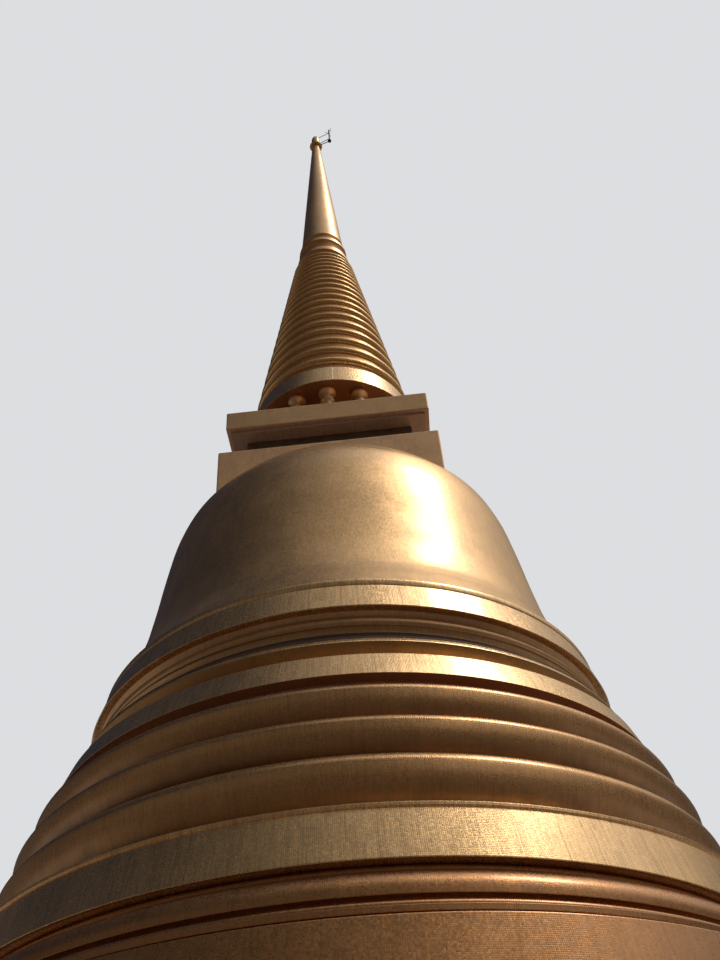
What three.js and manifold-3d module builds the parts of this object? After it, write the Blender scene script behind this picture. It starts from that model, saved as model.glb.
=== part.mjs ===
// Bell-shaped masonry stupa: round mouldings, bell, square throne, colonnade, ringed spire and bud finial.
// Millimetres, +Z up, origin on the ground at the centre of the base.
import * as THREE from 'three';
import { mergeVertices } from 'three/addons/utils/BufferGeometryUtils.js';
import Module from 'manifold-3d';

const wasm = await Module();
wasm.setup();

// Bell mouth, from which the other radii are taken
const mouthRadius = 5200;
const mouthHeight = 7900;

// Plinth and foot mouldings, from the ground up
const plinthRadius = 1.55 * mouthRadius;
const plinthTop = 520;
const stepRadius = 1.5 * mouthRadius;
const stepTop = 980;
const footTorusRadius = 1.475 * mouthRadius;
const footTorusTop = 1400;
const footBandRadius = 1.43 * mouthRadius;
const footBandTop = 2180;
const footBandTopRadius = 1.4 * mouthRadius;

// Small mouldings between the foot band and the tall band
const footFilletRadius = 1.375 * mouthRadius;
const footFilletFoot = 2240;
const footFilletTop = 2320;
const footBeadRadius = 1.353 * mouthRadius;
const footBeadTop = 2420;
const coveDepth = 110;
const arrisFoot = 2505;
const arrisTop = 2560;
const arrisRadius = 1.34 * mouthRadius;
const friezeTop = 2850;
const friezeTopRadius = 1.285 * mouthRadius;

// Tall band with its thin top lip
const tallBandFoot = 2969;
const tallBandFootRadius = 1.317 * mouthRadius;
const tallBandTop = 3693;
const tallBandTopRadius = 1.28 * mouthRadius;
const tallLipOut = 25;
const tallLipHeight = 50;
const tallLipSlope = 127;

// Three great rings between the tall band and the upper band, lowest first, each widest high up
const greatRingWidest = 0.72;
const greatRings = [
  { name: 'great_ring_lower', top: 4731, core: 1.137 * mouthRadius },
  { name: 'great_ring_middle', top: 5383, core: 1.121 * mouthRadius },
  { name: 'great_ring_upper', top: 6033, core: 1.079 * mouthRadius },
];

// Upper band and the mouldings that carry the bell
const upperNeckRadius = 1.055 * mouthRadius;
const upperBandFoot = 6240;
const upperBandFootRadius = 1.1027 * mouthRadius;
const upperBandTop = 6706;
const upperBandTopRadius = 1.069 * mouthRadius;
const splayFootRadius = 0.985 * mouthRadius;
const splayFoot = 6800;
const splayRadius = 1.033 * mouthRadius;
const splayEdge = 7060;
const splayRound = 50;
const splayTop = 7151;
const ledgeTop = 7208;
const ledgeRadius = 1.02 * mouthRadius;
const throatRadius = 0.976 * mouthRadius;
const throatDepth = 90;
const astragalFoot = 7590;
const astragalTop = 7790;
const astragalBulge = 110;

// Bell
const mouthBandTop = 8451;
const mouthBandTopRadius = 0.968 * mouthRadius;
const mouthRidgeHeight = 150;
const mouthRidgeOut = 20;
const bellOutline = [
  [0.95, 0.14], [0.92, 0.2], [0.894, 0.25], [0.873, 0.3], [0.846, 0.4], [0.828, 0.5], [0.812, 0.6], [0.798, 0.7],
  [0.782, 0.8], [0.763, 0.9], [0.73, 1.0], [0.692, 1.06], [0.654, 1.11], [0.572, 1.2], [0.48, 1.29],
];
const bellSteps = 14;

// Square throne
const throneHalf = 0.495 * mouthRadius;
const throneFoot = 13150;
const throneTop = 14666;
const throneNeckHalf = 0.385 * mouthRadius;
const throneFilletHalf = 0.451 * mouthRadius;
const throneFilletFoot = 15505;
const abacusFoot = 15575;
const abacusHalf = 0.471 * mouthRadius;
const abacusTop = 16165;

// Colonnade
const colonnetteCount = 14;
const colonnetteCircle = 0.355 * mouthRadius;
const colonnetteRadius = 0.044 * mouthRadius;
const drumRadius = 0.265 * mouthRadius;
const colonnetteOutline = [
  [0.85, 0], [0.85, 0.1], [0.6, 0.16], [0.56, 0.56], [0.8, 0.62], [0.8, 0.68],
  [0.52, 0.72], [0.46, 0.78], [0.54, 0.84], [1, 0.9], [1, 0.96], [0.85, 1],
];

// Disc, ringed spire and collars
const discFoot = 17290;
const discTop = 17930;
const discFootRadius = 0.43 * mouthRadius;
const discTopRadius = 0.41 * mouthRadius;
const ringsFoot = 17858;
const spireRingCount = 19;
const spireFootRadius = 0.404 * mouthRadius;
const spireTopRadius = 0.184 * mouthRadius;
const spireTop = 25180;
const ringShrink = 0.9487;
// Shares of a ring's height
const ringBead = 0.16;
const ringNeck = 0.62;
const ringWidest = 0.81;
const spireGroups = [
  { name: 'spire_rings_lower', from: 0, to: 9 },
  { name: 'spire_rings_upper', from: 9, to: 19 },
];
const collars = [
  { neck: 0.15 * mouthRadius, flareFoot: 25400, rimFoot: 25580, rimTop: 25760, rim: 0.166 * mouthRadius },
  { neck: 0.134 * mouthRadius, flareFoot: 26030, rimFoot: 26280, rimTop: 26430, rim: 0.1515 * mouthRadius },
  { neck: 0.126 * mouthRadius, flareFoot: 26600, rimFoot: 26780, rimTop: 26800, rim: 0.136 * mouthRadius },
];
const collarRimSlope = 10;

// Plain cone, bud and rod
const coneFootRadius = 0.1335 * mouthRadius;
const coneTop = 34220;
const coneTopRadius = 0.028 * mouthRadius;
const budCollarHeight = 120;
const budCollarRadius = 0.047 * mouthRadius;
const budCollarBulge = 60;
const budFootRadius = 0.027 * mouthRadius;
const budRadius = 0.031 * mouthRadius;
const budWidest = 0.45;
const budTop = 35070;
const rodRadius = 16;
const rodReach = 590;
const rodTurn = THREE.MathUtils.degToRad(-20);
const rodFoot = 34170;
const rodTop = 35160;
const armHeights = [34420, 34900];
const seatGap = 0.3;

const baseSegments = 40;
const spireSegments = 24;
const coneSegments = 16;
const colonnetteSegments = 8;

const stupa = new THREE.Group();

const tiles = (tone) => new THREE.MeshStandardMaterial({ color: tone, roughness: 0.42, metalness: 0.75 });
const mediumGold = 0xa88863;
const bellGold = 0xb08c5e;
const paleGold = 0xb59866;
const brownGold = 0x86643f;

function place(name, geometry, material) {
  const mesh = new THREE.Mesh(geometry, material);
  mesh.name = name;
  stupa.add(mesh);
  return mesh;
}

// Turned solid from an outline of [radius, height] points, rising from foot to top
function turned(outline, segments) {
  const foot = outline[0][1];
  const top = outline[outline.length - 1][1];
  const closed = [[0, foot], ...outline, [0, top]];
  const points = closed.map(([r, z]) => new THREE.Vector2(r, z));
  return new THREE.LatheGeometry(points, segments).rotateX(Math.PI / 2);
}

function turnedPiece(name, outline, tone, segments = baseSegments) {
  return place(name, turned(outline, segments), tiles(tone));
}

// Points along an arc of an ellipse in the outline's plane, angles in degrees from the outward direction
function arc(r, z, a, b, fromDeg, toDeg, steps) {
  const points = [];
  for (let i = 0; i <= steps; i += 1) {
    const t = THREE.MathUtils.degToRad(fromDeg + ((toDeg - fromDeg) * i) / steps);
    points.push([r + a * Math.cos(t), z + b * Math.sin(t)]);
  }
  return points;
}

// Half-round moulding between two heights
function halfRound(foot, top, core, bulge, steps = 6) {
  return arc(core, (foot + top) / 2, bulge, (top - foot) / 2, -90, 90, steps);
}

function asSolid(geometry) {
  const bare = geometry.clone();
  bare.deleteAttribute('normal');
  bare.deleteAttribute('uv');
  const merged = mergeVertices(bare, 0.001);
  const index = Array.from(merged.index.array);
  const whole = [];
  for (let i = 0; i < index.length; i += 3) {
    const [a, b, c] = index.slice(i, i + 3);
    if (a !== b && b !== c && c !== a) whole.push(a, b, c);
  }
  const mesh = new wasm.Mesh({
    numProp: 3,
    vertProperties: new Float32Array(merged.attributes.position.array),
    triVerts: new Uint32Array(whole),
  });
  return new wasm.Manifold(mesh);
}

function asGeometry(solid) {
  const mesh = solid.getMesh();
  const geometry = new THREE.BufferGeometry();
  geometry.setAttribute('position', new THREE.BufferAttribute(new Float32Array(mesh.vertProperties), 3));
  geometry.setIndex(new THREE.BufferAttribute(new Uint32Array(mesh.triVerts), 1));
  geometry.computeVertexNormals();
  return geometry;
}

function box(half, foot, top) {
  return new THREE.BoxGeometry(2 * half, 2 * half, top - foot).translate(0, 0, (foot + top) / 2);
}

// Plinth and foot mouldings
turnedPiece('plinth', [[plinthRadius, 0], [plinthRadius, plinthTop]], paleGold);
turnedPiece('plinth_step', [[stepRadius, plinthTop], [stepRadius, stepTop]], paleGold);
const torusHalf = (footTorusTop - stepTop) / 2;
turnedPiece('foot_torus', halfRound(stepTop, footTorusTop, footTorusRadius - torusHalf, torusHalf), mediumGold);
turnedPiece('foot_band', [[footBandRadius, footTorusTop], [footBandTopRadius, footBandTop]], paleGold);
const beadHalf = (footBeadTop - footFilletTop) / 2;
const creviceRadius = footBeadRadius - 2 * beadHalf;
turnedPiece(
  'foot_moulding',
  [
    [creviceRadius, footBandTop],
    [creviceRadius, footFilletFoot],
    [footFilletRadius, footFilletFoot],
    [footFilletRadius, footFilletTop],
    ...halfRound(footFilletTop, footBeadTop, footBeadRadius - beadHalf, beadHalf, 4),
  ],
  brownGold,
);

// Frieze: a cove, an arris, a swelling band and a bead
const ovoloWidth = arrisRadius - friezeTopRadius;
const friezeBead = (tallBandFoot - friezeTop) / 2;
turnedPiece(
  'frieze',
  [
    ...arc(arrisRadius, footBeadTop, coveDepth, arrisFoot - footBeadTop, 180, 90, 3),
    ...arc(friezeTopRadius, arrisTop, ovoloWidth, friezeTop - arrisTop, 0, 90, 4),
    ...halfRound(friezeTop, tallBandFoot, friezeTopRadius - friezeBead, friezeBead, 4),
  ],
  brownGold,
);

// Tall band and its lip
const tallLipTop = tallBandTop + tallLipHeight;
const tallLipRadius = tallBandTopRadius + tallLipOut;
const greatRingsFoot = tallLipTop + tallLipSlope;
turnedPiece(
  'tall_band',
  [
    [tallBandFootRadius, tallBandFoot],
    [tallBandTopRadius, tallBandTop],
    [tallLipRadius, tallBandTop],
    [tallLipRadius, tallLipTop],
    [tallLipRadius - 2 * tallLipSlope, greatRingsFoot],
  ],
  paleGold,
);

// Great rings
let ringFoot = greatRingsFoot;
for (const ring of greatRings) {
  const tall = ring.top - ringFoot;
  const widest = ringFoot + greatRingWidest * tall;
  const lower = arc(ring.core, widest, tall / 2, widest - ringFoot, -90, 0, 5);
  const upper = arc(ring.core, widest, tall / 2, ring.top - widest, 0, 90, 4);
  turnedPiece(ring.name, [...lower, ...upper.slice(1)], mediumGold);
  ringFoot = ring.top;
}

// Upper band on its neck, and the mouldings below the bell
turnedPiece(
  'upper_band',
  [
    [upperNeckRadius, ringFoot],
    [upperNeckRadius, upperBandFoot],
    [upperBandFootRadius, upperBandFoot],
    [upperBandTopRadius, upperBandTop],
  ],
  paleGold,
);
turnedPiece(
  'throat_splay',
  [
    [splayFootRadius, upperBandTop],
    [splayFootRadius, splayFoot],
    ...arc(splayRadius - splayRound, splayEdge, splayRound, splayRound, 0, 90, 3),
    [splayRadius - splayRound, splayTop],
  ],
  brownGold,
);
turnedPiece('bell_ledge', [[ledgeRadius, splayTop], [ledgeRadius, ledgeTop]], paleGold);
turnedPiece(
  'throat_cavetto',
  arc(throatRadius, (ledgeTop + astragalFoot) / 2, throatDepth, (astragalFoot - ledgeTop) / 2, 270, 90, 4),
  brownGold,
);
turnedPiece(
  'throat_astragal',
  [
    ...halfRound(astragalFoot, astragalTop, throatRadius - astragalBulge, astragalBulge, 4),
    [throatRadius, mouthHeight],
  ],
  brownGold,
);

// Bell with its fluted mouth band and thin ridge
const ridgeTop = mouthBandTop + mouthRidgeHeight;
turnedPiece(
  'bell_mouth',
  [
    [mouthRadius, mouthHeight],
    [mouthBandTopRadius, mouthBandTop],
    ...halfRound(mouthBandTop, ridgeTop, mouthBandTopRadius - mouthRidgeOut, mouthRidgeOut, 4),
  ],
  bellGold,
);
const bellCurve = new THREE.SplineCurve(
  bellOutline.map(([r, z]) => new THREE.Vector2(r * mouthRadius, mouthHeight + z * mouthRadius)),
);
const bellSide = bellCurve.getPoints(bellSteps).map((p) => [p.x, p.y]);
bellSide[0][1] = ridgeTop;
const throneSocket = box(throneHalf + seatGap, throneFoot - seatGap, throneTop);
const bell = asSolid(turned(bellSide, baseSegments)).subtract(asSolid(throneSocket));
place('bell', asGeometry(bell), tiles(bellGold));

// Throne: a block bedded in the shoulder of the bell, a neck, a fillet and an abacus
place('throne_base', box(throneHalf, throneFoot, throneTop), tiles(mediumGold));
place('throne_neck', box(throneNeckHalf, throneTop, throneFilletFoot), tiles(brownGold));
place('throne_fillet', box(throneFilletHalf, throneFilletFoot, abacusFoot), tiles(brownGold));
place('throne_abacus', box(abacusHalf, abacusFoot, abacusTop), tiles(mediumGold));

// Colonnade between the throne and the disc, with a colonnette in the middle of the front
turnedPiece('colonnade_drum', [[drumRadius, abacusTop], [drumRadius, discFoot]], brownGold, spireSegments);
const colonnadeHeight = discFoot - abacusTop;
const colonnette = turned(
  colonnetteOutline.map(([r, z]) => [r * colonnetteRadius, z * colonnadeHeight]),
  colonnetteSegments,
);
for (let i = 0; i < colonnetteCount; i += 1) {
  const turn = (i * 2 * Math.PI) / colonnetteCount - Math.PI / 2;
  const number = String(i + 1).padStart(2, '0');
  const mesh = place(`colonnette_${number}`, colonnette, tiles(mediumGold));
  mesh.position.set(colonnetteCircle * Math.cos(turn), colonnetteCircle * Math.sin(turn), abacusTop);
}

// Disc and ringed spire: each ring is lower than the one below by the same share,
// and the disc comes a little way up the lowest one
turnedPiece('spire_disc', [[discFootRadius, discFoot], [discTopRadius, discTop]], paleGold);
const lowestRing = ((spireTop - ringsFoot) * (1 - ringShrink)) / (1 - Math.pow(ringShrink, spireRingCount));
const ringAt = (i) => {
  const gone = (1 - Math.pow(ringShrink, i)) / (1 - ringShrink);
  const foot = ringsFoot + lowestRing * gone;
  const risen = (foot - ringsFoot) / (spireTop - ringsFoot);
  return { foot, radius: THREE.MathUtils.lerp(spireFootRadius, spireTopRadius, risen) };
};
for (const group of spireGroups) {
  const outline = [];
  for (let i = group.from; i < group.to; i += 1) {
    const { foot, radius } = ringAt(i);
    const next = ringAt(i + 1);
    const pitch = next.foot - foot;
    const core = radius - ringBead * pitch;
    outline.push([core, Math.max(foot, discTop)], [core, foot + ringNeck * pitch]);
    outline.push([radius, foot + ringWidest * pitch], [core, next.foot]);
  }
  turnedPiece(group.name, outline, mediumGold, spireSegments);
}

// Flaring collars round the foot of the cone
const collarOutline = [];
let collarFoot = spireTop;
for (const collar of collars) {
  collarOutline.push([collar.neck, collarFoot], [collar.neck, collar.flareFoot]);
  collarOutline.push([collar.rim, collar.rimFoot], [collar.rim - collarRimSlope, collar.rimTop]);
  collarFoot = collar.rimTop;
}
turnedPiece('spire_collars', collarOutline, mediumGold, spireSegments);
turnedPiece('spire_cone', [[coneFootRadius, collarFoot], [coneTopRadius, coneTop]], bellGold, coneSegments);

// Bud on its collar
const budFoot = coneTop + budCollarHeight;
const budHeight = budTop - budFoot;
const bud = turned(
  [
    ...halfRound(coneTop, budFoot, budCollarRadius - budCollarBulge, budCollarBulge, 3),
    [budFootRadius, budFoot],
    ...arc(0, budFoot + budWidest * budHeight, budRadius, (1 - budWidest) * budHeight, -20, 80, 5),
  ],
  coneSegments,
);
place('bud', bud, tiles(mediumGold));

// Rod held off the bud by two arms
const darkMetal = new THREE.MeshStandardMaterial({ color: 0x4a4038, roughness: 0.6, metalness: 0.6 });
const bar = (radius, length) => new THREE.CylinderGeometry(radius, radius, length, 8);
const upright = bar(rodRadius, rodTop - rodFoot)
  .rotateX(Math.PI / 2)
  .translate(rodReach * Math.cos(rodTurn), rodReach * Math.sin(rodTurn), (rodFoot + rodTop) / 2);
const grown = 1 + seatGap / budRadius;
const budSeat = asSolid(bud.clone().scale(grown, grown, 1));
let rod = asSolid(upright);
for (const height of armHeights) {
  const arm = bar(0.8 * rodRadius, rodReach)
    .rotateZ(-Math.PI / 2)
    .translate(rodReach / 2, 0, 0)
    .rotateZ(rodTurn)
    .translate(0, 0, height);
  rod = rod.add(asSolid(arm).subtract(budSeat));
}
place('rod', asGeometry(rod), darkMetal);

export default stupa;
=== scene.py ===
# Golden mosaic stupa: turned mouldings, bell, square throne, colonnade, ringed spire and bud
# Metres, +Z up, origin on the ground at the centre of the base; the front faces -Y
import math

import bmesh
import bpy
from mathutils import Matrix, Vector


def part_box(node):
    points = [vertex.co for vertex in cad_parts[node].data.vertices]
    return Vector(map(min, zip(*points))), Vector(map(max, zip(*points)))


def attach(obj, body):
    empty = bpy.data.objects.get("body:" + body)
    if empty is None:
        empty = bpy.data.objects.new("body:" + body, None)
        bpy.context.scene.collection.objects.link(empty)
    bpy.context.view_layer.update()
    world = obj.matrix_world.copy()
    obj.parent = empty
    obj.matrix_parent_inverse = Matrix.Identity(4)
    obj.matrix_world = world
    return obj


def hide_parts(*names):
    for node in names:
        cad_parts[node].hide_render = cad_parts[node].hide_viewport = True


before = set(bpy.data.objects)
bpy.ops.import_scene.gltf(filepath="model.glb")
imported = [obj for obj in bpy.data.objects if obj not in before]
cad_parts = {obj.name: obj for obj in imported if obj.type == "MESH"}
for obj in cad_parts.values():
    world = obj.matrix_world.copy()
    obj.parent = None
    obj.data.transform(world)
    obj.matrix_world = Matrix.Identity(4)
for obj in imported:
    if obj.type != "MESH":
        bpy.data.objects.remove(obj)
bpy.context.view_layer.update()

# Radii are shares of the bell's mouth, as a builder sets them out
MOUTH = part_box("bell_mouth")[1].x
# Side of a tile, tiles along a sheet, and height of a course of sheets
TILE = 0.025
SHEET = 12
COURSE = SHEET * TILE
# Tiles between the starts of the tile grids of two pieces, two colonnettes and two courses
GRID_STEP = 400
POST_GRID_STEP = 90
COURSE_STEP = 7
# Rounding of an edge, its steps, the share of each side it may take, the margin outside it,
# and the turn below which an edge is left alone
EASE = 0.022
THIN_EASE = 0.01
EASE_STEPS = 4
EASE_ROOM = 0.4
EASE_MARGIN = 0.1
SHALLOW = math.radians(24)
# Gap between the end of one course and the start of the next
APART = 0.002
# Points closer than this become one, and one this near the axis has no side
SAME = 1e-5
NEAR_AXIS = 1e-4
# How far up or down a face looks to be flat on top, and to be an underside
FLAT = 0.7
UNDERSIDE = -0.9
# Sides of a turned body
BASE_STEPS = 160
SPIRE_STEPS = 96
BUD_STEPS = 48
POST_STEPS = 28


# Camera, with its lens and farthest view
CAMERA_PLACE = (1.0655, -17.985, -1.7866)
CAMERA_YAW = math.radians(-1.4971)
CAMERA_PITCH = math.radians(44.3785)
CAMERA_ROLL = math.radians(-4.9405)
CAMERA_LENS = 36.375
CAMERA_FAR = 500


def set_camera():
    """Stands the camera low in front of the stupa, looking up and slightly rolled."""
    lens = bpy.data.cameras.new("camera")
    lens.lens = CAMERA_LENS
    lens.clip_end = CAMERA_FAR
    level = math.cos(CAMERA_PITCH)
    ahead = Vector((math.sin(CAMERA_YAW) * level, math.cos(CAMERA_YAW) * level, math.sin(CAMERA_PITCH)))
    right = Vector((math.cos(CAMERA_YAW), -math.sin(CAMERA_YAW), 0))
    up = right.cross(ahead)
    turn = Matrix.Rotation(-CAMERA_ROLL, 3, ahead)
    right, up = turn @ right, turn @ up
    camera = bpy.data.objects.new("camera", lens)
    facing = Matrix((right, up, -ahead)).transposed().to_4x4()
    camera.matrix_world = Matrix.Translation(CAMERA_PLACE) @ facing
    bpy.context.scene.collection.objects.link(camera)
    bpy.context.scene.camera = camera


class Amount:
    """A number that changes over a surface; arithmetic on it adds Math nodes."""

    def __init__(self, bench, socket):
        self.bench = bench
        self.socket = socket

    def math(self, operation, *others):
        inputs = dict(enumerate((self, *others)))
        return self.bench.node("ShaderNodeMath", {"operation": operation}, inputs)

    def __add__(self, other):
        return self.math("ADD", other)

    def __radd__(self, other):
        return self.math("ADD", other)

    def __sub__(self, other):
        return self.math("SUBTRACT", other)

    def __rsub__(self, other):
        return self.math("MULTIPLY_ADD", -1.0, other)

    def __mul__(self, other):
        return self.math("MULTIPLY", other)

    def __rmul__(self, other):
        return self.math("MULTIPLY", other)

    def __pow__(self, other):
        return self.math("POWER", other)


class Bench:
    """Lays out the nodes of one finish or of the light round the stupa."""

    def __init__(self, tree):
        self.tree = tree
        tree.nodes.clear()

    def node(self, kind, settings=None, inputs=None, output=0):
        made = self.tree.nodes.new(kind)
        for key, value in (settings or {}).items():
            setattr(made, key, value)
        for key, value in (inputs or {}).items():
            if isinstance(value, Amount):
                self.tree.links.new(value.socket, made.inputs[key])
            else:
                made.inputs[key].default_value = value
        return Amount(self, made.outputs[output]) if made.outputs else None

    def blend(self, share, first, second):
        return self.node("ShaderNodeMix", {"data_type": "RGBA"}, {0: share, 6: first, 7: second}, 2)

    def vector(self, operation, *parts, output=0):
        inputs = dict(enumerate(parts))
        return self.node("ShaderNodeVectorMath", {"operation": operation}, inputs, output)

    def scaled(self, vector, share):
        return self.node("ShaderNodeVectorMath", {"operation": "SCALE"}, {0: vector, 3: share})

    def rise(self, amount, low, high, bottom=0.0, top=1.0):
        """Goes smoothly from bottom to top as the amount goes from low to high."""
        inputs = {0: amount, 1: low, 2: high, 3: bottom, 4: top}
        return self.node("ShaderNodeMapRange", {"interpolation_type": "SMOOTHSTEP"}, inputs)

    def cloud(self, place, scale, detail=3.0, rough=0.55, output=0):
        inputs = {"Vector": place, "Scale": scale, "Detail": detail, "Roughness": rough}
        return self.node("ShaderNodeTexNoise", {}, inputs, output)

    def chance(self, place, output=0):
        """A fixed random number, or colour with output 1, for each place."""
        return self.node("ShaderNodeTexWhiteNoise", {"noise_dimensions": "3D"}, {"Vector": place}, output)


# Finishes, colours in linear light
GOLD = (0.74, 0.41, 0.17, 1)
SPIRE_GOLD = (0.96, 0.56, 0.21, 1)
PALE_GOLD = (0.90, 0.565, 0.26, 1)
BLOCK_GOLD = (0.98, 0.65, 0.37, 1)
ABACUS_GOLD = (0.84, 0.535, 0.27, 1)
BELL_GOLD = (0.86, 0.53, 0.24, 1)
# Painted shade and bounce light: darker orange gold for the coves under the bell and the drum
SHADED_COVE_GOLD = (0.72, 0.42, 0.20, 1)
# Painted shade and bounce light: dark orange gold for the foot band and the mouldings below the tall band
SHADED_FOOT_GOLD = (0.52, 0.24, 0.085, 1)
# Painted shade: darker brown gold for the splay's hollow underside
SHADED_BROWN_GOLD = (0.46, 0.25, 0.09, 1)
# Painted shade: darker gold for soffits and undersides
SHADED_GOLD = (0.52, 0.24, 0.11, 1)
# Painted shade: darker orange gold for the recessed necks of the spire and its collars
SHADED_NECK_GOLD = (0.74, 0.35, 0.105, 1)
# Painted shade: a greyer, duller gold for the neck under the upper band and the abacus's underside
DIM_GOLD = (0.86, 0.56, 0.44, 1)
# Painted shade: greyer gold for the fillet under the abacus
SHADED_FILLET_GOLD = (0.62, 0.46, 0.37, 1)
# Painted shadow: near-black gold for the gaps and crevices
GAP_SHADOW_GOLD = (0.12, 0.085, 0.06, 1)
GRIME = (0.20, 0.12, 0.065, 1)
JOINT = (0.23, 0.15, 0.09, 1)
# Painted shade: the colour that darkens the lower side of each course down into its crevice
CREVICE_SHADE_COLOUR = (0.072, 0.024, 0.009, 1)
# Joint between tiles and slope of their edges, in tiles from a tile's middle
JOINT_EDGE = (0.44, 0.485)
SLOPE_EDGE = (0.36, 0.5)
JOINT_DEPTH = 0.0012
JOINT_SHARE = 0.75
# Tiles in a long and in a short column of one tone
LONG_COLUMN = 60
SHORT_COLUMN = 11
# Change of tone from tile to tile and from sheet to sheet
TILE_TONE = 0.14
SHEET_TONE = 0.05
# Strongest share of the painted crevice shade
CREVICE_SHADE_SHARE = 0.92
# Lean of the sheets beside that of the tiles, and of the wall under them
SHEET_LEAN = 0.4
WALL_LEAN = 0.05
GLASS_ROUGHNESS = 0.18
MIDDLE = (0.5, 0.5, 0.5)


def mosaic(
    name,
    gold,
    streaks=0.10,
    columns=0.12,
    clouds=0.22,
    grime=0.18,
    roughness=0.42,
    tilt=0.03,
    glass=0.5,
    metal=0.93,
):
    """Small glass tiles with a gold back, in square sheets, weathered, with painted shade in their
    crevices.
    """
    material = bpy.data.materials.new(name)
    material.use_nodes = True
    bench = Bench(material.node_tree)
    tiles = bench.node("ShaderNodeUVMap", {"uv_map": "tiles"})
    place = bench.node("ShaderNodeTexCoord", output=3)
    cell = bench.vector("FLOOR", tiles)
    inside = bench.vector("SUBTRACT", bench.vector("FRACTION", tiles), MIDDLE)
    inside = bench.vector("ABSOLUTE", inside)
    across, along = (bench.node("ShaderNodeSeparateXYZ", {}, {0: inside}, part) for part in range(2))
    rim = across.math("MAXIMUM", along)
    joint = bench.rise(rim, *JOINT_EDGE)

    # Tone of each tile, sheet and column, rain streaks, and weathering in soft clouds
    tile_tone = bench.chance(cell)
    sheet = bench.vector("FLOOR", bench.scaled(tiles, 1 / SHEET))
    sheet_tone = bench.chance(sheet)
    column = bench.vector("FLOOR", bench.vector("MULTIPLY", tiles, (1.0, 1 / LONG_COLUMN, 0.0)))
    dark_column = bench.rise(bench.chance(column), 0.8, 1.0)
    short_column = bench.vector("FLOOR", bench.vector("MULTIPLY", tiles, (1.0, 1 / SHORT_COLUMN, 0.0)))
    uneven_column = bench.chance(short_column) - 0.5
    streak = bench.cloud(bench.vector("MULTIPLY", tiles, (0.2, 0.004, 0.0)), 1.0, 4.0, 0.75)
    wide_cloud = bench.cloud(place, 0.42, 4.0, 0.62)
    small_cloud = bench.cloud(bench.vector("MULTIPLY", place, (1.0, 1.0, 0.6)), 2.2, 5.0, 0.66)
    tone = TILE_TONE * (tile_tone - 0.5) + SHEET_TONE * (sheet_tone - 0.5) + 2 * streaks * (streak - 0.5)
    tone = tone - 0.7 * columns * dark_column + columns * uneven_column
    tone = tone + 1.6 * clouds * (wide_cloud - 0.5) + clouds * (small_cloud - 0.5) + (1.0 + 0.1 * columns)
    colour = bench.scaled(gold[:3], tone)
    dirty = bench.rise(small_cloud + 0.5 * streak, 0.6, 1.05) * grime
    colour = bench.blend(dirty, colour, GRIME)
    colour = bench.blend(joint * JOINT_SHARE, colour, JOINT)
    # Painted shade on the lower side of each course, deepest in its crevice
    soot = bench.node("ShaderNodeAttribute", {"attribute_name": "soot"}, output=2)
    soot = bench.rise(soot + 0.3 * (small_cloud - 0.5), 0.05, 0.95, 0.0, CREVICE_SHADE_SHARE)
    colour = bench.blend(soot, colour, CREVICE_SHADE_COLOUR)

    # Each tile is set a little out of true, and so is each sheet
    lean = bench.vector("SUBTRACT", bench.chance(cell, 1), MIDDLE)
    sheet_lean = bench.vector("SUBTRACT", bench.chance(sheet, 1), MIDDLE)
    wave = bench.vector("SUBTRACT", bench.cloud(place, 1.1, 3.0, 0.5, output=1), MIDDLE)
    normal = bench.node("ShaderNodeNewGeometry", output=1)
    normal = bench.vector("ADD", normal, bench.scaled(lean, 2 * tilt))
    normal = bench.vector("ADD", normal, bench.scaled(sheet_lean, SHEET_LEAN * tilt))
    normal = bench.vector("ADD", normal, bench.scaled(wave, WALL_LEAN))
    normal = bench.vector("NORMALIZE", normal)
    relief = bench.rise(rim, *SLOPE_EDGE, 1.0, 0.0)
    bump = {"Strength": 0.5, "Distance": JOINT_DEPTH, "Height": relief, "Normal": normal}
    normal = bench.node("ShaderNodeBump", {}, bump)

    # Gloss changes with the weather, and joints, dirt and the painted crevice shade are dull
    gloss = roughness + 0.14 * (wide_cloud - 0.5) + 0.10 * (tile_tone - 0.5)
    gloss = gloss + 0.3 * joint + 0.25 * dirty + 0.3 * soot
    shader = bench.node(
        "ShaderNodeBsdfPrincipled",
        {},
        {
            "Base Color": colour,
            "Metallic": (metal - 0.6 * joint - 0.5 * dirty) * (1 - 0.8 * soot),
            "Roughness": gloss,
            "Coat Weight": glass,
            "Coat Roughness": GLASS_ROUGHNESS,
            "Normal": normal,
        },
    )
    bench.node("ShaderNodeOutputMaterial", {}, {0: shader})
    return material


def cast_metal(name, colour, dull, roughness, metallic):
    """Gilded or weathered metal with soft patches."""
    material = bpy.data.materials.new(name)
    material.use_nodes = True
    bench = Bench(material.node_tree)
    place = bench.node("ShaderNodeTexCoord", output=3)
    patches = bench.cloud(place, 6.0, 5.0, 0.65)
    pits = bench.cloud(place, 60.0, 3.0, 0.6)
    worn = bench.rise(patches, 0.45, 0.65)
    tint = bench.blend(0.7 * worn, colour, dull)
    normal = bench.node("ShaderNodeBump", {}, {"Strength": 0.4, "Distance": 0.002, "Height": pits})
    shader = bench.node(
        "ShaderNodeBsdfPrincipled",
        {},
        {
            "Base Color": tint,
            "Metallic": metallic,
            "Roughness": roughness + 0.15 * worn + 0.1 * (pits - 0.5),
            "Normal": normal,
        },
    )
    bench.node("ShaderNodeOutputMaterial", {}, {0: shader})
    return material


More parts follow.
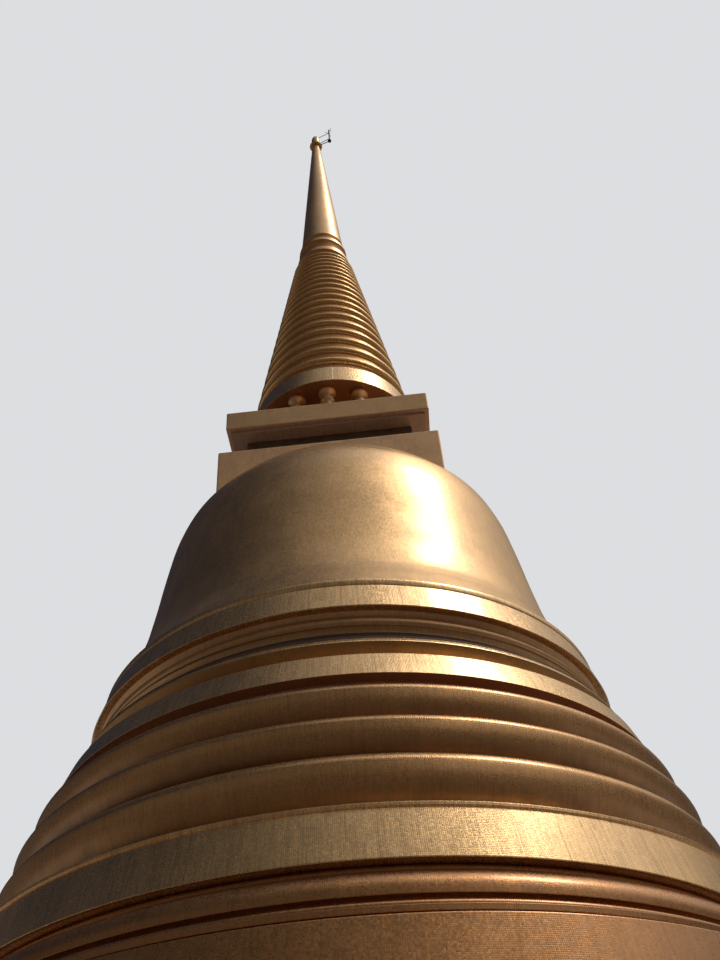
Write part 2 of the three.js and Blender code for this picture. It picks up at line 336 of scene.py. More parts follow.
finishes = {
    "rings": mosaic("ring_mosaic", GOLD, streaks=0.09, columns=0.14, roughness=0.25, tilt=0.016),
    "bands": mosaic(
        "band_mosaic", PALE_GOLD, streaks=0.15, columns=0.26, clouds=0.26, roughness=0.22, tilt=0.015
    ),
    "blocks": mosaic("block_mosaic", BLOCK_GOLD, streaks=0.05, columns=0.04, clouds=0.3, roughness=0.6),
    "abacus": mosaic(
        "abacus_mosaic", ABACUS_GOLD, streaks=0.05, columns=0.04, clouds=0.3, roughness=0.46
    ),
    "bell": mosaic(
        "bell_mosaic", BELL_GOLD, streaks=0.06, columns=0.06, clouds=0.5, grime=0.2, roughness=0.35
    ),
    # Painted shade and orange bounce light in the coves and on the drum
    "coves": mosaic("shaded_cove_mosaic", SHADED_COVE_GOLD, columns=0.1, grime=0.2, roughness=0.34, metal=0.85),
    # Painted shade and orange bounce light on the foot band and the mouldings below the tall band
    "foot": mosaic("shaded_foot_mosaic", SHADED_FOOT_GOLD, roughness=0.3),
    # Painted shade on the splay's underside
    "shaded_brown": mosaic("shaded_brown_mosaic", SHADED_BROWN_GOLD, grime=0.3, roughness=0.36, glass=0.25, metal=0.88),
    # Painted shade on soffits and undersides
    "shaded": mosaic(
        "shaded_mosaic", SHADED_GOLD, streaks=0.08, columns=0.04, clouds=0.3, roughness=0.4, metal=0.8
    ),
    # Painted shade on the neck under the upper band and the abacus's underside
    "dim": mosaic("dim_mosaic", DIM_GOLD, streaks=0.12, grime=0.3, roughness=0.45, glass=0.2, metal=0.7),
    # Painted shade on the fillet under the abacus
    "worn": mosaic("shaded_fillet_mosaic", SHADED_FILLET_GOLD, grime=0.2, roughness=0.5, glass=0.2, metal=0.5),
    # Painted shadow in the gaps and crevices
    "sooty": mosaic(
        "gap_shadow_mosaic", GAP_SHADOW_GOLD, streaks=0.3, grime=0.6, roughness=0.6, glass=0.1, metal=0.5
    ),
    "spire": mosaic("spire_mosaic", SPIRE_GOLD, streaks=0.05, columns=0.05, roughness=0.27),
    # Painted shade on the spire's recessed necks
    "spire_necks": mosaic(
        "shaded_spire_neck_mosaic", SHADED_NECK_GOLD, streaks=0.05, columns=0.05, roughness=0.33, metal=0.9
    ),
    "gilt": cast_metal("gilt", (0.85, 0.56, 0.25, 1), (0.42, 0.26, 0.12, 1), 0.3, 0.95),
    "pale_metal": cast_metal("pale_metal", (0.95, 0.82, 0.62, 1), (0.8, 0.62, 0.4, 1), 0.35, 0.8),
    "iron": cast_metal("dark_iron", (0.05, 0.04, 0.035, 1), (0.12, 0.07, 0.045, 1), 0.6, 0.4),
}


def arc(reach, height, wide, tall, start, end, steps):
    """Points of an arc of an ellipse, angles in degrees from the outward direction."""
    points = []
    for i in range(steps + 1):
        turn = math.radians(start + (end - start) * i / steps)
        points.append((reach + wide * math.cos(turn), height + tall * math.sin(turn)))
    return points


def half_round(foot, top, core, bulge, steps=12):
    """A moulding that bulges from its core between two heights."""
    return arc(core, (foot + top) / 2, bulge, (top - foot) / 2, -90, 90, steps)


def part_way(p, q, r, s, t):
    """Value at the share t from q to r, on a smooth curve through four values."""
    straight = (r - p) * t
    square = (2 * p - 5 * q + 4 * r - s) * t**2
    cube = (3 * q - p - 3 * r + s) * t**3
    return 0.5 * (2 * q + straight + square + cube)


def curve_through(points, steps):
    """A smooth curve through the points, with the given steps between each two."""
    ends = [points[0], *points, points[-1]]
    made = []
    for four in zip(ends, ends[1:], ends[2:], ends[3:]):
        for i in range(steps):
            made.append(tuple(part_way(*values, i / steps) for values in zip(*four)))
    return [*made, points[-1]]


def in_courses(points, length=COURSE):
    """Cuts an outline into courses of tile sheets of about the given length."""
    courses = [[]]
    run = 0.0
    for before, point in zip([points[0], *points], points):
        run += math.dist(before, point)
        courses[-1].append(point)
        if run >= length * len(courses):
            courses.append([])
    return [course for course in courses if course]


def eased(points, ease):
    """Rounds the sharp corners of an outline of (place, course) points.

    A point just outside each rounding keeps the shading of the long sides flat.
    """
    made = [points[0]]
    for (before, _), (corner, course), (after, _) in zip(points, points[1:], points[2:]):
        back, ahead = before - corner, after - corner
        turn = math.pi - back.angle(ahead, math.pi)
        if turn < SHALLOW:
            made.append((corner, course))
            continue
        reach = min(ease * math.tan(turn / 2), EASE_ROOM * back.length, EASE_ROOM * ahead.length)
        start = corner + back.normalized() * reach
        end = corner + ahead.normalized() * reach
        made.append((start + back.normalized() * EASE_MARGIN * reach, course))
        for i in range(EASE_STEPS + 1):
            t = i / EASE_STEPS
            made.append((start * (1 - t) ** 2 + corner * 2 * t * (1 - t) + end * t**2, course))
        made.append((end + ahead.normalized() * EASE_MARGIN * reach, course))
    return [*made, points[-1]]


def spin(mesh, steps):
    """Spins the outline in the mesh once round the axis."""
    outline = mesh.verts[:] + mesh.edges[:]
    bmesh.ops.spin(
        mesh, geom=outline, axis=(0, 0, 1), cent=(0, 0, 0), steps=steps, angle=math.tau, use_merge=True
    )
    bmesh.ops.remove_doubles(mesh, verts=mesh.verts, dist=SAME)


def bevel(mesh, edges, width, segments):
    """Rounds the edges of a mesh."""
    bmesh.ops.bevel(
        mesh,
        geom=edges,
        offset=width,
        segments=segments,
        profile=0.5,
        affect="EDGES",
        material=-1,
        clamp_overlap=True,
    )


def spun(courses, steps, ease, soot=0.0):
    """Spins an outline, closed on the axis, and keeps how far along the outline each ring lies.

    Painted shade darkens each course from its widest point, where it is lit, down to its deepest.
    """
    points = [(Vector(point), number) for number, course in enumerate(courses) for point in course]
    foot, top = points[0], points[-1]
    closed = [(Vector((0, foot[0].y)), 0), *points, (Vector((0, top[0].y)), len(courses) - 1)]
    outline = eased(closed, ease)
    deepest = [min(point[0] for point in course) for course in courses]
    widest = [max(course) for course in courses]
    mesh = bmesh.new()
    along = mesh.verts.layers.float.new("along")
    crevice_shaded = mesh.verts.layers.float.new("soot")
    number = mesh.verts.layers.int.new("course")
    run = 0.0
    last = None
    for place, course in outline:
        vert = mesh.verts.new((place.x, 0, place.y))
        reach, height = widest[course]
        room = max(reach - deepest[course], NEAR_AXIS)
        # Painted shade only below the course's widest point
        if place.y < height:
            vert[crevice_shaded] = soot * min(1, math.sqrt(max(0, reach - place.x) / room))
        if last:
            run += (vert.co - last.co).length
            mesh.edges.new((last, vert))
        vert[along] = run
        vert[number] = course
        last = vert
    spin(mesh, steps)
    bmesh.ops.recalc_face_normals(mesh, faces=mesh.faces)
    return mesh


def tile_round(mesh, offset, by_course=False):
    """Lays the tile grid round a turned body, with a whole number of tiles in each course."""
    along = mesh.verts.layers.float["along"]
    number = mesh.verts.layers.int["course"]
    widest = {}
    for vert in mesh.verts:
        reach = math.hypot(vert.co.x, vert.co.y)
        widest[vert[number]] = max(widest.get(vert[number], 0), reach)
    tiles = mesh.loops.layers.uv.new("tiles")
    for face in mesh.faces:
        face.smooth = True
        course = min(vert[number] for vert in face.verts)
        face.material_index = course if by_course else 0
        count = max(1, round(math.tau * widest[course] / TILE))
        centre = face.calc_center_median()
        middle = math.atan2(centre.y, centre.x)
        for loop in face.loops:
            co = loop.vert.co
            turn = middle
            if math.hypot(co.x, co.y) > NEAR_AXIS:
                turn = math.atan2(co.y, co.x)
                turn += math.tau * round((middle - turn) / math.tau)
            uv = (turn / math.tau * count + COURSE_STEP * course, loop.vert[along] / TILE + offset)
            loop[tiles].uv = uv


def tile_flat(mesh, offset):
    """Lays the tile grid on the flat sides of a squared body."""
    tiles = mesh.loops.layers.uv.new("tiles")
    for face in mesh.faces:
        normal = face.normal
        for loop in face.loops:
            x, y, z = loop.vert.co
            if abs(normal.z) > FLAT:
                uv = (x, y)
            elif abs(normal.x) > abs(normal.y):
                uv = (y * math.copysign(1, normal.x), z)
            else:
                uv = (x * math.copysign(1, -normal.y), z)
            loop[tiles].uv = (uv[0] / TILE, uv[1] / TILE + offset)


made_pieces = []


def finished(name, mesh, finish, slot, *nodes):
    """Turns the mesh into a piece of the stupa that stands for CAD nodes."""
    data = bpy.data.meshes.new(name)
    mesh.to_mesh(data)
    mesh.free()
    for each in [finish] if isinstance(finish, str) else finish:
        data.materials.append(finishes[each])
    piece = bpy.data.objects.new(name, data)
    bpy.context.scene.collection.objects.link(piece)
    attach(piece, "root")
    if nodes:
        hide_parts(*nodes)
    made_pieces.append(piece)


def turned(node, courses, finish="bands", slot="gold_tile", steps=BASE_STEPS, ease=EASE, soot=0.0):
    """A tiled body turned from the outlines of its courses, in one finish or one for each course."""
    mesh = spun(courses, steps, ease, soot)
    tile_round(mesh, GRID_STEP * len(made_pieces), isinstance(finish, tuple))
    finished("tiled_" + node, mesh, finish, slot, node)


def squared(node, outline, finish, slot, ease):
    """A tiled block with four equal sides, from an outline of (half width, height) points.

    Of two finishes the second is for its underside.
    """
    corner = math.sqrt(2)
    mesh = bmesh.new()
    foot, top = outline[0][1], outline[-1][1]
    last = None
    for half, height in [(0, foot), *outline, (0, top)]:
        vert = mesh.verts.new((half * corner, 0, height))
        if last:
            mesh.edges.new((last, vert))
        last = vert
    spin(mesh, 4)
    square_on = Matrix.Rotation(math.pi / 4, 3, "Z")
    bmesh.ops.rotate(mesh, verts=mesh.verts, cent=(0, 0, 0), matrix=square_on)
    bmesh.ops.recalc_face_normals(mesh, faces=mesh.faces)
    bevel(mesh, [edge for edge in mesh.edges if edge.calc_face_angle(0) > SHALLOW], ease, 3)
    tile_flat(mesh, GRID_STEP * len(made_pieces))
    for face in mesh.faces:
        below = face.normal.z < UNDERSIDE
        face.material_index = 1 if below and not isinstance(finish, str) else 0
    finished("tiled_" + node, mesh, finish, slot, node)


def span(node):
    """Foot, top and reach of a CAD node."""
    low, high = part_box(node)
    return low.z, high.z, high.x


# Reaches and heights of the small mouldings below the tall band
FOOT_BAND_TOP = 1.40 * MOUTH
FOOT_BEAD = 1.353 * MOUTH
FOOT_BEAD_HALF = 0.05
FILLET_RISE = 0.06
FILLET_TOP = 0.14
COVE_DEPTH = 0.11
ARRIS_FOOT = 2.505
ARRIS_TOP = 2.56
FRIEZE_TOP = 2.85
FRIEZE_REACH = 1.285 * MOUTH


def make_foot():
    """Plinth, step, torus and the mouldings up to the tall band."""
    for node in ("plinth", "plinth_step"):
        foot, top, reach = span(node)
        turned(node, [[(reach, foot), (reach, top)]])
    foot, top, reach = span("foot_torus")
    half = (top - foot) / 2
    turned("foot_torus", [half_round(foot, top, reach - half, half, 16)], "rings")
    foot, top, reach = span("foot_band")
    turned("foot_band", [[(reach, foot), (FOOT_BAND_TOP, top)]], "foot")
    foot, top, fillet = span("foot_moulding")
    crevice = FOOT_BEAD - 2 * FOOT_BEAD_HALF
    side = [
        (crevice, foot),
        (crevice, foot + FILLET_RISE),
        (fillet, foot + FILLET_RISE),
        (fillet, foot + FILLET_TOP),
        *half_round(foot + FILLET_TOP, top, FOOT_BEAD - FOOT_BEAD_HALF, FOOT_BEAD_HALF, 10),
    ]
    turned("foot_moulding", [side], "foot", "gold_tile_shaded", ease=THIN_EASE)
    foot, top, arris = span("frieze")
    bead_half = (top - FRIEZE_TOP) / 2
    side = [
        *arc(arris, foot, COVE_DEPTH, ARRIS_FOOT - foot, 180, 90, 6),
        *arc(FRIEZE_REACH, ARRIS_TOP, arris - FRIEZE_REACH, FRIEZE_TOP - ARRIS_TOP, 0, 90, 12),
        *half_round(FRIEZE_TOP, top, FRIEZE_REACH - bead_half, bead_half, 8),
    ]
    turned("frieze", [side], "foot", "gold_tile_shaded", ease=THIN_EASE)


# Tall band with its lip, share of its height at which a great ring is widest, and upper band
TALL_BAND_TOP = 1.28 * MOUTH
LIP_OUT = 0.025
LIP_FOOT = 3.693
LIP_TOP = 3.743
LIP_EASE = 0.012
RING_WIDEST = 0.72
# Painted shade on the lower side of each great ring
RING_CREVICE_SHADE = 0.95
UPPER_NECK = 1.055 * MOUTH
UPPER_FOOT = 6.24
UPPER_TOP = 1.069 * MOUTH
DRIP = 0.02


def make_bands():
    """Tall band, great rings and upper band."""
    foot, top, reach = span("tall_band")
    lip = TALL_BAND_TOP + LIP_OUT
    side = [
        (reach, foot),
        (TALL_BAND_TOP, LIP_FOOT),
        (lip, LIP_FOOT),
        (lip, LIP_TOP),
        (lip - 2 * (top - LIP_TOP), top),
    ]
    turned("tall_band", [side], ease=LIP_EASE)
    for node in ("great_ring_lower", "great_ring_middle", "great_ring_upper"):
        foot, top, reach = span(node)
        half = (top - foot) / 2
        core = reach - half
        widest = foot + RING_WIDEST * (top - foot)
        lower = arc(core, widest, half, widest - foot, -90, 0, 22)
        upper = arc(core, widest, half, top - widest, 0, 90, 14)
        turned(node, [[*lower, *upper[1:]]], "rings", soot=RING_CREVICE_SHADE)
    foot, top, reach = span("upper_band")
    courses = [
        [(UPPER_NECK, foot), (UPPER_NECK, UPPER_FOOT - APART)],
        [(UPPER_NECK, UPPER_FOOT), (reach - DRIP, UPPER_FOOT)],
        [(reach, UPPER_FOOT), (UPPER_TOP, top)],
    ]
    # The upper band's neck and soffit carry painted shade, in the dim and shaded finishes
    turned("upper_band", courses, ("dim", "shaded", "bands"))


# Splay below the bell: its neck, the height of its edge and how round the edge is, how hollow
# its underside is, and how far in and down that ends. Then the cavetto and the astragal above it
SPLAY_NECK = 0.985 * MOUTH
SPLAY_FOOT = 6.8
SPLAY_EDGE = 7.06
SPLAY_ROUND = 0.05
SPLAY_HOLLOW = 0.006
SPLAY_IN = 0.003
SPLAY_DOWN = 0.006
SPLAY_EASE = 0.004
CAVETTO_DEPTH = 0.09
# Points at the cavetto's foot that carry the painted shadow finish
GAP_SHADOW_POINTS = 8
ASTRAGAL_BULGE = 0.11


def make_throat():
    """The mouldings between the upper band and the bell."""
    foot, top, reach = span("throat_splay")
    middle = ((SPLAY_NECK + reach) / 2 - SPLAY_HOLLOW, (SPLAY_FOOT + SPLAY_EDGE) / 2)
    end = (reach - SPLAY_IN, SPLAY_EDGE - SPLAY_DOWN)
    round_reach = reach - SPLAY_ROUND
    courses = [
        [(SPLAY_NECK, foot), (SPLAY_NECK, SPLAY_FOOT), middle, end],
        [*arc(round_reach, SPLAY_EDGE, SPLAY_ROUND, SPLAY_ROUND, 0, 90, 8), (round_reach, top)],
    ]
    # The splay's hollow underside carries painted shade
    turned("throat_splay", courses, ("shaded_brown", "bands"), "gold_tile_shaded", ease=SPLAY_EASE)
    # The ledge is all painted shadow
    foot, top, reach = span("bell_ledge")
    turned("bell_ledge", [[(reach, foot), (reach, top)]], "sooty", ease=THIN_EASE)
    foot, top, reach = span("throat_cavetto")
    hollow = arc(reach, (foot + top) / 2, CAVETTO_DEPTH, (top - foot) / 2, 270, 90, 12)
    courses = [hollow[:GAP_SHADOW_POINTS], hollow[GAP_SHADOW_POINTS:]]
    turned("throat_cavetto", courses, ("sooty", "coves"), "gold_tile_shaded")
    foot, top, reach = span("throat_astragal")
    bead = half_round(foot, top - ASTRAGAL_BULGE, reach - ASTRAGAL_BULGE, ASTRAGAL_BULGE)
    turned("throat_astragal", [[*bead, (reach, top)]], "coves", "gold_tile_shaded", ease=THIN_EASE)


# Mouth band with its ridge, and reach and height of the bell above the mouth's foot, in mouths
MOUTH_BAND_TOP = 8.451
MOUTH_BAND_REACH = 0.968 * MOUTH
RIDGE = 0.02
RIDGE_EASE = 0.015
BELL_OUTLINE = [
    (0.95, 0.14), (0.92, 0.2), (0.894, 0.25), (0.873, 0.3), (0.846, 0.4), (0.828, 0.5), (0.812, 0.6),
    (0.798, 0.7), (0.782, 0.8), (0.763, 0.9), (0.73, 1.0), (0.692, 1.06), (0.654, 1.11), (0.572, 1.2),
    (0.48, 1.29),
]


def make_bell():
    """The mouth band with its thin ridge, and the bell above it."""
    foot, top, reach = span("bell_mouth")
    ridge = half_round(MOUTH_BAND_TOP, top, MOUTH_BAND_REACH - RIDGE, RIDGE, 8)
    side = [(reach, foot), (MOUTH_BAND_REACH, MOUTH_BAND_TOP), *ridge]
    turned("bell_mouth", [side], ease=RIDGE_EASE)
    side = [(r * MOUTH, foot + z * MOUTH) for r, z in curve_through(BELL_OUTLINE, 8)]
    side[0] = (side[0][0], top)
    turned("bell", in_courses(side), "bell", ease=0)


BLOCK_EASE = 0.03
THRONE = (
    ("throne_base", "blocks", "gold_tile", BLOCK_EASE),
    # The neck under the abacus is painted shadow
    ("throne_neck", "sooty", "gold_tile_shaded", BLOCK_EASE),
    # The fillet under the abacus carries painted shade
    ("throne_fillet", "worn", "gold_tile_shaded", THIN_EASE),
    # The abacus's underside carries painted shade
    ("throne_abacus", ("abacus", "dim"), "gold_tile", BLOCK_EASE),
)


def make_throne():
    """The square block bedded in the bell, its neck, fillet and abacus."""
    for node, finish, slot, ease in THRONE:
        foot, top, half = span(node)
        squared(node, [(half, foot), (half, top)], finish, slot, ease)


# A colonnette's outline, in shares of its reach and height
POST_COUNT = 14
POST_REACH = 0.044 * MOUTH
POST_EASE = 0.012
POST_OUTLINE = [
    (0.85, 0), (0.85, 0.07), (0.78, 0.085), (0.78, 0.12), (0.6, 0.16), (0.56, 0.56), (0.8, 0.62),
    (0.8, 0.68), (0.52, 0.72), (0.46, 0.78), (0.54, 0.84), (1, 0.9), (1, 0.96), (0.85, 1),
]


def make_colonnade():
    """The drum and the ring of short colonnettes that carry the disc."""
    foot, top, reach = span("colonnade_drum")
    turned("colonnade_drum", [[(reach, foot), (reach, top)]], "coves", "gold_tile_shaded", SPIRE_STEPS)
    tall = top - foot
    outline = [(share * POST_REACH, rise * tall) for share, rise in POST_OUTLINE]
    for number in range(1, POST_COUNT + 1):
        node = f"colonnette_{number:02d}"
        low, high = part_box(node)
        centre = (low + high) / 2
        mesh = spun([outline], POST_STEPS, POST_EASE)
        tile_round(mesh, POST_GRID_STEP * number)
        bmesh.ops.translate(mesh, verts=mesh.verts, vec=(centre.x, centre.y, foot))
        finished("tiled_" + node, mesh, "abacus", "gold_tile", node)


# Disc, and its strap's turn round it, thickness, width, shortfall and rounding
DISC_TOP_REACH = 0.41 * MOUTH
STRAP_TURN = math.radians(-85.5)
STRAP_THICK = 0.012
STRAP_WIDE = 0.034
STRAP_SHORT = 0.02
STRAP_EASE = 0.003
# Rings: each is lower than the one below, with a bulge and a neck in shares of its height
RINGS_FOOT = 17.858
RING_COUNT = 19
LOWER_RINGS = 9
RING_SHRINK = 0.9487
RING_BEAD = 0.16
RING_NECK = 0.62
# Painted shade on the necks under the spire's beads
NECK_CREVICE_SHADE = 0.35
LOWEST_RING = 0.404 * MOUTH
HIGHEST_RING = 0.184 * MOUTH
# Cone, and the height of its courses
CONE_REACH = 0.1335 * MOUTH
CONE_TOP_REACH = 0.028 * MOUTH
CONE_RISES = 40
CONE_COURSE = 1.2
# A collar's neck, the height where it flares, foot and top of its rim, and the rim's reach
COLLARS = (
    (0.15, 25.4, 25.58, 25.76, 0.166),
    (0.134, 26.03, 26.28, 26.43, 0.1515),
    (0.126, 26.6, 26.78, 26.8, 0.136),
)
# A flare's middle point: how far inside the straight line, and its share of the height
FLARE_HOLLOW = 0.002
FLARE_MIDDLE = 0.62
RIM_SLOPE = 0.01
COLLAR_EASE = 0.008


def make_strap(reach, foot, top):
    """The thin pale strap down the front of the disc."""
    mesh = bmesh.new()
    bmesh.ops.create_cube(mesh, size=1)
    bmesh.ops.scale(mesh, verts=mesh.verts, vec=(STRAP_THICK, STRAP_WIDE, top - foot - STRAP_SHORT))
    bevel(mesh, mesh.edges[:], STRAP_EASE, 2)
    lean = Matrix.Rotation(-math.atan2(reach - DISC_TOP_REACH, top - foot), 3, "Y")
    out = ((reach + DISC_TOP_REACH) / 2 + STRAP_THICK / 3, 0, (foot + top) / 2)
    bmesh.ops.rotate(mesh, verts=mesh.verts, cent=(0, 0, 0), matrix=lean)
    bmesh.ops.translate(mesh, verts=mesh.verts, vec=out)
    bmesh.ops.rotate(mesh, verts=mesh.verts, cent=(0, 0, 0), matrix=Matrix.Rotation(STRAP_TURN, 3, "Z"))
    finished("disc_strap", mesh, "pale_metal", "gilt_metal")


def make_spire():
    """The disc, the rings, the three collars and the plain cone."""
    foot, disc_top, reach = span("spire_disc")
    courses = [[(reach - DRIP, foot)], [(reach, foot), (DISC_TOP_REACH, disc_top)]]
    # The disc's underside carries painted shade
    turned("spire_disc", courses, ("shaded", "bands"), steps=SPIRE_STEPS, ease=THIN_EASE)
    make_strap(reach, foot, disc_top)
    rings_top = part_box("spire_rings_upper")[1].z
    lowest = (rings_top - RINGS_FOOT) * (1 - RING_SHRINK) / (1 - RING_SHRINK**RING_COUNT)
    marks = [
        RINGS_FOOT + lowest * (1 - RING_SHRINK**i) / (1 - RING_SHRINK) for i in range(RING_COUNT + 1)
    ]
    groups = (("spire_rings_lower", 0, LOWER_RINGS), ("spire_rings_upper", LOWER_RINGS, RING_COUNT))
    for node, first, last in groups:
        courses = []
        for i in range(first, last):
            foot, top = marks[i], marks[i + 1]
            share = (foot - RINGS_FOOT) / (rings_top - RINGS_FOOT)
            reach = LOWEST_RING + (HIGHEST_RING - LOWEST_RING) * share
            bead = RING_BEAD * (top - foot)
            neck_top = foot + RING_NECK * (top - foot)
            core = reach - bead
            neck = (max(foot, disc_top) + APART, (foot + neck_top) / 2, neck_top - APART)
            courses.append([(core, height) for height in neck])
            courses.append(half_round(neck_top, top, core, bead, 10))
        finish = ("spire_necks", "spire") * (last - first)
        turned(node, courses, finish, steps=SPIRE_STEPS, ease=0, soot=NECK_CREVICE_SHADE)
    foot = span("spire_collars")[0]
    courses = []
    for neck, flare, rim_foot, rim_top, rim in COLLARS:
        middle = ((neck + rim) / 2 - FLARE_HOLLOW, flare + FLARE_MIDDLE * (rim_foot - flare))
        slope = [(neck, foot), (neck, flare), middle, (rim, rim_foot)]
        courses.append([(share * MOUTH, height) for share, height in slope])
        courses.append([(rim * MOUTH, rim_foot + APART), (rim * MOUTH - RIM_SLOPE, rim_top)])
        foot = rim_top
    finish = ("spire_necks", "bell") * len(COLLARS)
    turned("spire_collars", courses, finish, steps=SPIRE_STEPS, ease=COLLAR_EASE)
    foot, top, _ = span("spire_cone")
    slope = []
    for i in range(CONE_RISES + 1):
        reach = CONE_REACH + (CONE_TOP_REACH - CONE_REACH) * i / CONE_RISES
        slope.append((reach, foot + (top - foot) * i / CONE_RISES))
    turned("spire_cone", in_courses(slope, CONE_COURSE), "bell", steps=SPIRE_STEPS, ease=THIN_EASE)


# Bud: its collar, its own foot and widest reach
BUD_COLLAR_TALL = 0.12
BUD_COLLAR_BULGE = 0.06
BUD_COLLAR_REACH = 0.047 * MOUTH
BUD_FOOT = 0.027 * MOUTH
BUD_REACH = 0.031 * MOUTH
BUD_WIDEST = 0.45
BUD_EASE = 0.006
# Rod: its turn round the bud, reach and thickness
ROD_TURN = math.radians(-20)
ROD_REACH = 0.59
ROD_THICK = 0.022
# Each arm: its reach and height at the bud, its height at the rod, or none for the bracket, and thickness
ARMS = (
    (0.05, 34.9, 34.9, 0.011),
    (0.08, 34.42, 34.42, 0.012),
    (0.08, 34.28, None, 0.016),
)
BRACKET_RISE = 0.05
BRACKET_REACH = 0.07
# Prongs, the turn from one to the next, the height of the first, and how far apart they stand
PRONG_COUNT = 5
PRONG_TURN = 2.1
PRONG_FOOT = 34.78
PRONG_APART = 0.05
PRONG_REACH = 0.16
PRONG_RISE = 0.07
PRONG_THICK = 0.007


def make_finial():
    """The bud on its collar, and the rod on its arms beside it."""
    foot, top, _ = span("bud")
    neck = foot + BUD_COLLAR_TALL
    tall = top - neck
    outline = [
        *half_round(foot, neck, BUD_COLLAR_REACH - BUD_COLLAR_BULGE, BUD_COLLAR_BULGE, 8),
        (BUD_FOOT, neck),
        *arc(0, neck + BUD_WIDEST * tall, BUD_REACH, (1 - BUD_WIDEST) * tall, -20, 88, 20),
    ]
    mesh = spun([outline], BUD_STEPS, BUD_EASE)
    tile_round(mesh, 0)
    finished("gilt_bud", mesh, "gilt", "gilt_metal", "bud")

    low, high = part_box("rod")
    out = Vector((math.cos(ROD_TURN), math.sin(ROD_TURN), 0))
    side = Vector((-out.y, out.x, 0))
    upright = out * ROD_REACH
    bracket = low.z + BRACKET_RISE

    def at(place, height):
        return place + Vector((0, 0, height))

    bars = [
        (at(upright, low.z), at(upright, high.z), ROD_THICK),
        (at(upright, bracket), at(upright, bracket + BRACKET_RISE), BRACKET_REACH),
    ]
    for reach, inner, outer, thick in ARMS:
        bars.append((at(out * reach, inner), at(upright, outer or bracket), thick))
    for number in range(PRONG_COUNT):
        turn = PRONG_TURN * number
        root = at(upright, PRONG_FOOT + PRONG_APART * number)
        way = side * math.cos(turn) + out * math.sin(turn)
        bars.append((root, at(root + PRONG_REACH * way, PRONG_RISE), PRONG_THICK))
    mesh = bmesh.new()
    for start, end, thick in bars:
        way = end - start
        place = Matrix.Translation((start + end) / 2) @ way.to_track_quat("Z", "Y").to_matrix().to_4x4()
        bmesh.ops.create_cone(
            mesh, cap_ends=True, segments=16, radius1=thick, radius2=thick, depth=way.length, matrix=place
        )
    for face in mesh.faces:
        face.smooth = len(face.verts) == 4
    finished("rod_and_arms", mesh, "iron", "dark_metal", "rod")


# Light: ways it comes from, and colours in linear light
SUN_WAY = Vector((0.511, -0.109, 0.853))
SUN_STRENGTH = 0.71
SUN_WIDE = math.radians(16)
SUN_COLOUR = (1.0, 0.96, 0.9)
GLOW_WAY = (0.56, 0.05, 0.827)
GLOW_LEVEL = 0.98
GLOW_POWER = 3.3
SHADE_WAY = (-0.62, 0.45, 0.64)
SHADE_COLOUR = (0.02, 0.024, 0.04, 1)
GROUND_COLOUR = (0.078, 0.062, 0.05, 1)
FRONT_TINT = (1.0, 0.98, 0.95, 1)
BACK_TINT = (1.0, 0.88, 0.70, 1)
RIGHT_TINT = (1.0, 0.95, 0.86)
BOUNCE_TINT = (1.0, 0.93, 0.83)
BACKDROP_COLOUR = (0.72, 0.73, 0.75, 1)
# Levels of the plain dome, of the sky round the sun, overhead, at the back, low at the right and below
PLAIN_LEVEL = 0.045
HALO_LEVEL = 0.22
TOP_LEVEL = 0.035
BACK_LEVEL = 0.15
RIGHT_LEVEL = 0.36
BOUNCE_LEVEL = 0.26


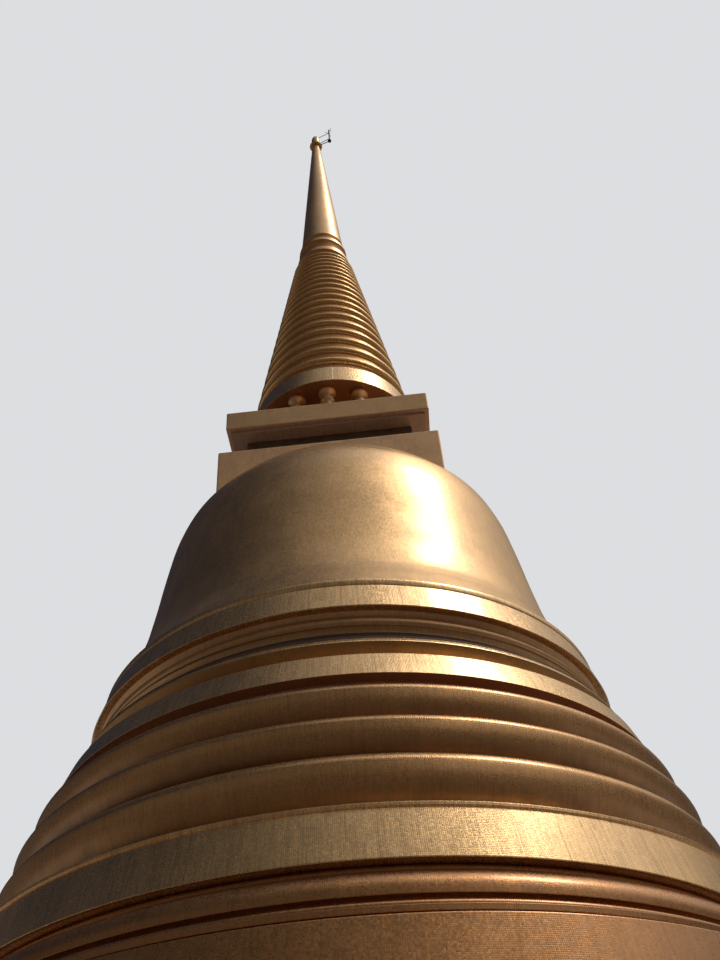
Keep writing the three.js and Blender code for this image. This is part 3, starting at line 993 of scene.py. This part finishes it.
def lit_dome(bench, way):
    """Light from every way: bright at the right, dark at the left, with a dim ground."""
    x, y, z = (bench.node("ShaderNodeSeparateXYZ", {}, {0: way}, part) for part in range(3))

    # A wide glow round the sun, weaker at the front and the back, and the sky close round it
    near_glow = bench.vector("DOT_PRODUCT", way, GLOW_WAY, output=1).math("MAXIMUM", 0.0)
    glow = GLOW_LEVEL * near_glow**GLOW_POWER * bench.rise(y, -0.85, -0.35, 0.4, 1.0)
    level = PLAIN_LEVEL + glow * bench.rise(y, 0.1, 0.6, 1.0, 0.62)
    near_sun = bench.vector("DOT_PRODUCT", way, tuple(SUN_WAY), output=1)
    level = level + bench.rise(near_sun, 0.93, 0.99, 0.0, HALO_LEVEL)
    level = level + bench.rise(z, 0.88, 0.97, 0.0, TOP_LEVEL)
    back = bench.rise(y, 0.2, 0.6) * bench.rise(x, -0.2, 0.0, 0.0, BACK_LEVEL)
    level = level + back * bench.rise(x, 0.15, 0.4, 1.0, 0.2)
    dome = bench.scaled(bench.blend(bench.rise(y, -0.1, 0.5), FRONT_TINT, BACK_TINT), level)

    # Shade at the left, and the ground
    near_shade = bench.vector("DOT_PRODUCT", way, SHADE_WAY, output=1)
    dome = bench.blend(bench.rise(near_shade, 0.42, 0.8, 0.0, 0.98), dome, SHADE_COLOUR)
    dome = bench.blend(bench.rise(z, 0.33, 0.58), GROUND_COLOUR, dome)

    # Bright low sky at the right front, and light thrown up from below at the sides and the back
    right = bench.rise(x, 0.2, 0.6, 0.05, RIGHT_LEVEL) * bench.rise(y, -0.45, -0.1, 1.0, 0.0)
    right = right * bench.rise(z, 0.45, 0.62, 1.0, 0.0) * bench.rise(z, 0.05, 0.3)
    dome = bench.vector("ADD", dome, bench.scaled(RIGHT_TINT, right))
    bounce = bench.rise(y, -0.6, 0.0) * bench.rise(z, -0.1, 0.15, 1.0, 0.0)
    bounce = bounce * bench.rise(z, -0.6, -0.45, 0.0, BOUNCE_LEVEL)
    return bench.vector("ADD", dome, bench.scaled(BOUNCE_TINT, bounce))


def set_light():
    """A soft strong light from the right, the dome, and a plain pale backdrop for the camera."""
    lamp = bpy.data.lights.new("key_light", "SUN")
    lamp.energy = SUN_STRENGTH
    lamp.angle = SUN_WIDE
    lamp.color = SUN_COLOUR
    key = bpy.data.objects.new("key_light", lamp)
    key.matrix_world = SUN_WAY.to_track_quat("Z", "Y").to_matrix().to_4x4()
    bpy.context.scene.collection.objects.link(key)

    world = bpy.data.worlds.new("studio")
    world.use_nodes = True
    bpy.context.scene.world = world
    bench = Bench(world.node_tree)
    dome = lit_dome(bench, bench.node("ShaderNodeTexCoord", output=0))
    seen = bench.node("ShaderNodeLightPath", output=0)
    backdrop = bench.blend(seen, dome, BACKDROP_COLOUR)
    light = bench.node("ShaderNodeBackground", {}, {0: backdrop, 1: 1.0})
    bench.node("ShaderNodeOutputWorld", {}, {0: light})
    bpy.context.scene.view_settings.view_transform = "Standard"


FLOOR_RADIUS = 10.5
FLOOR_COLOUR = (0.5, 0.49, 0.47, 1)
FLOOR_ROUGHNESS = 0.7


def set_floor():
    """A plain pale round floor under the plinth."""
    mesh = bmesh.new()
    bmesh.ops.create_circle(mesh, cap_ends=True, segments=128, radius=FLOOR_RADIUS)
    data = bpy.data.meshes.new("floor")
    mesh.to_mesh(data)
    mesh.free()
    material = bpy.data.materials.new("pale_floor")
    material.use_nodes = True
    shader = material.node_tree.nodes["Principled BSDF"]
    shader.inputs["Base Color"].default_value = FLOOR_COLOUR
    shader.inputs["Roughness"].default_value = FLOOR_ROUGHNESS
    data.materials.append(material)
    floor = bpy.data.objects.new("floor", data)
    bpy.context.scene.collection.objects.link(floor)


set_camera()
make_foot()
make_bands()
make_throat()
make_bell()
make_throne()
make_colonnade()
make_spire()
make_finial()
set_light()
set_floor()
